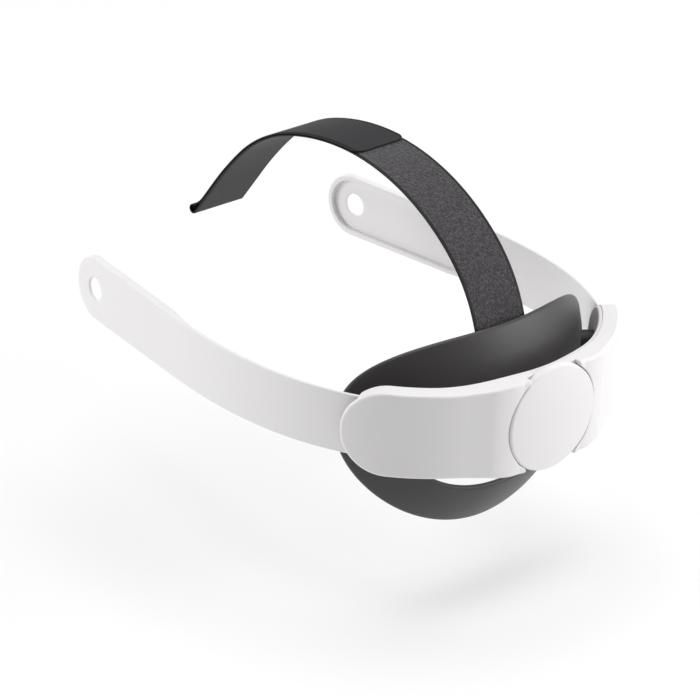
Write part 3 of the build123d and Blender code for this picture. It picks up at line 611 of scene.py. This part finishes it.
def cloth(name, dark, mid, light, cells, depth, rough, sheen):
    """Knitted cloth: cells of yarn ends in three tones, each a small bump with a dark gap."""
    material = bpy.data.materials.new(name)
    material.use_nodes = True
    nodes, links = material.node_tree.nodes, material.node_tree.links
    shader = nodes["Principled BSDF"]
    shader.inputs["Sheen Weight"].default_value = sheen
    shader.inputs["Sheen Roughness"].default_value = 0.5
    shader.inputs["Specular IOR Level"].default_value = 0.3
    place = nodes.new("ShaderNodeTexCoord")
    wander = nodes.new("ShaderNodeTexNoise")
    wander.inputs["Scale"].default_value = cells * 0.8
    wander.inputs["Detail"].default_value = 3
    links.new(place.outputs["Object"], wander.inputs["Vector"])
    loops = nodes.new("ShaderNodeTexVoronoi")
    loops.inputs["Scale"].default_value = cells
    loops.inputs["Randomness"].default_value = 0.9
    links.new(place.outputs["Object"], loops.inputs["Vector"])
    fuzz = nodes.new("ShaderNodeTexNoise")
    fuzz.inputs["Scale"].default_value = cells * 2.2
    fuzz.inputs["Detail"].default_value = 2
    links.new(place.outputs["Object"], fuzz.inputs["Vector"])
    ramp = nodes.new("ShaderNodeValToRGB")
    ramp.color_ramp.elements[0].position = 0.42
    ramp.color_ramp.elements[0].color = paint(dark)
    ramp.color_ramp.elements[1].position = 0.6
    ramp.color_ramp.elements[1].color = paint(light)
    ramp.color_ramp.elements.new(0.5).color = paint(mid)
    mixed = nodes.new("ShaderNodeMath")
    mixed.operation = "MULTIPLY_ADD"
    mixed.inputs[1].default_value = 0.5
    half = nodes.new("ShaderNodeMath")
    half.operation = "MULTIPLY"
    half.inputs[1].default_value = 0.5
    links.new(wander.outputs["Fac"], half.inputs[0])
    links.new(fuzz.outputs["Fac"], mixed.inputs[0])
    links.new(half.outputs["Value"], mixed.inputs[2])
    links.new(mixed.outputs["Value"], ramp.inputs["Fac"])
    links.new(ramp.outputs["Color"], shader.inputs["Base Color"])
    spread = nodes.new("ShaderNodeMapRange")
    spread.inputs["To Min"].default_value = rough - 0.08
    spread.inputs["To Max"].default_value = rough + 0.08
    links.new(wander.outputs["Fac"], spread.inputs["Value"])
    links.new(spread.outputs["Result"], shader.inputs["Roughness"])
    mound = nodes.new("ShaderNodeMath")
    mound.operation = "SUBTRACT"
    links.new(fuzz.outputs["Fac"], mound.inputs[0])
    links.new(loops.outputs["Distance"], mound.inputs[1])
    bump = nodes.new("ShaderNodeBump")
    bump.inputs["Strength"].default_value = 1.0
    bump.inputs["Distance"].default_value = depth
    links.new(mound.outputs["Value"], bump.inputs["Height"])
    links.new(bump.outputs["Normal"], shader.inputs["Normal"])
    return material


loop_face = cloth("loop_fabric_face", "242225", "353235", "4d494d", cells=1000, depth=0.00022,
                  rough=0.85, sheen=0.25)
smooth_face = cloth("brushed_smooth_side", "1a171b", "1d1a1e", "201d21", cells=2400,
                    depth=0.00002, rough=0.65, sheen=0.06)
cut_edge = cloth("heat_cut_edge", "070607", "0b0a0b", "110f11", cells=1400, depth=0.00004,
                 rough=0.6, sheen=0.0)

turned_back = radians(first_heading + sleeve_wrap)
sleeve_start = (bar[0] - sleeve_radius * sin(turned_back),
                bar[1] + sleeve_radius * cos(turned_back))
strap_start = (bar[0] - sleeve_radius * sin(radians(first_heading)),
               bar[1] + sleeve_radius * cos(radians(first_heading)))
strap_length = sum(length for length, turned in strap_run)
tab_start = 0.105
tab_end = strap_length - (fold_inner + closing) * sin(radians(fold_taper))
there = strap_line(sleeve_run + strap_run + fold_run, sleeve_start, first_heading + sleeve_wrap,
                   low=0, high=1, step=stitch)
under = strap_line(strap_run, strap_start, first_heading, tab_start, tab_start + tab_corner,
                   corner_stitch)
under += strap_line(strap_run, strap_start, first_heading, tab_start + tab_corner, tab_end,
                    stitch)[1:]
back = [(y - ply_rise * sin(course), z + ply_rise * cos(course), course + pi)
        for y, z, course in under[::-1]]
cloth_line = there + back[1:]
strap = ply("strap_webbing_cloth", cloth_line, strap_half, outer=0, inner=webbing,
            materials=(loop_face, smooth_face, cut_edge), edge_slot=2, corner=tab_corner)
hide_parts("strap_webbing", "strap_return_tab")
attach(strap, "top_strap")


# ---------------------------------------------------------------------------------------------
# Hook pad: a thin patch of moulded hooks sewn under the strap's free end. It grips the loops of
# the webbing that it is pressed on, and so sets the strap's length.
hook_length, hook_half = 0.034, 0.0123
hook_face = cloth("hook_pad_face", "19181a", "232124", "2e2c2f", cells=1300, depth=0.00025,
                  rough=0.6, sheen=0.1)
pad_line = strap_line(strap_run, strap_start, first_heading, tab_start, tab_start + hook_length,
                      stitch)
hook_pad = ply("strap_hook_pad", pad_line, hook_half, outer=-0.00025, inner=-0.00005,
               materials=(hook_face, hook_face), edge_slot=0, corner=0.001)
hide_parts("strap_hook_patch")
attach(hook_pad, "top_strap")


# ---------------------------------------------------------------------------------------------
# Gear and racks: white acetal mouldings that run dry, hidden in the housing. The dial's pinion
# meshes with the left arm's rack above it and the right arm's rack below it.
acetal = moulded("white_acetal", "e6e4e3", "e0dedc", grains=1400, gloss=0.3, depth=0.00001)
for name in ("pinion_shaft", "left_rack", "right_rack"):
    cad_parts[name].data.materials.clear()
    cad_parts[name].data.materials.append(acetal)


# ---------------------------------------------------------------------------------------------
# Small steel hardware: nickel-plated screws and rivets, the click spring, the strap's anchor
# plate and its bar. Tumbling leaves fine scratches that change the polish from place to place.
def plated_steel():
    """Nickel plate with fine scratches in its roughness and height."""
    material = bpy.data.materials.new("nickel_plated_steel")
    material.use_nodes = True
    nodes, links = material.node_tree.nodes, material.node_tree.links
    shader = nodes["Principled BSDF"]
    shader.inputs["Metallic"].default_value = 1.0
    place = nodes.new("ShaderNodeTexCoord")
    scratch = nodes.new("ShaderNodeTexNoise")
    scratch.inputs["Scale"].default_value = 1800
    scratch.inputs["Detail"].default_value = 4
    links.new(place.outputs["Object"], scratch.inputs["Vector"])
    colour = nodes.new("ShaderNodeMix")
    colour.data_type = "RGBA"
    colour.inputs["A"].default_value = paint("c9c6c0")
    colour.inputs["B"].default_value = paint("b2afaa")
    links.new(scratch.outputs["Fac"], colour.inputs["Factor"])
    links.new(colour.outputs["Result"], shader.inputs["Base Color"])
    rough = nodes.new("ShaderNodeMapRange")
    rough.inputs["To Min"].default_value = 0.2
    rough.inputs["To Max"].default_value = 0.45
    links.new(scratch.outputs["Fac"], rough.inputs["Value"])
    links.new(rough.outputs["Result"], shader.inputs["Roughness"])
    bump = nodes.new("ShaderNodeBump")
    bump.inputs["Distance"].default_value = 0.000006
    links.new(scratch.outputs["Fac"], bump.inputs["Height"])
    links.new(bump.outputs["Normal"], shader.inputs["Normal"])
    return material


steel = plated_steel()
for name in ("housing_screws", "dial_screw", "click_spring", "click_spring_rivets",
             "cradle_screws", "left_rack_rivets", "right_rack_rivets", "strap_anchor",
             "anchor_bar", "anchor_rivets"):
    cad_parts[name].data.materials.clear()
    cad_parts[name].data.materials.append(steel)
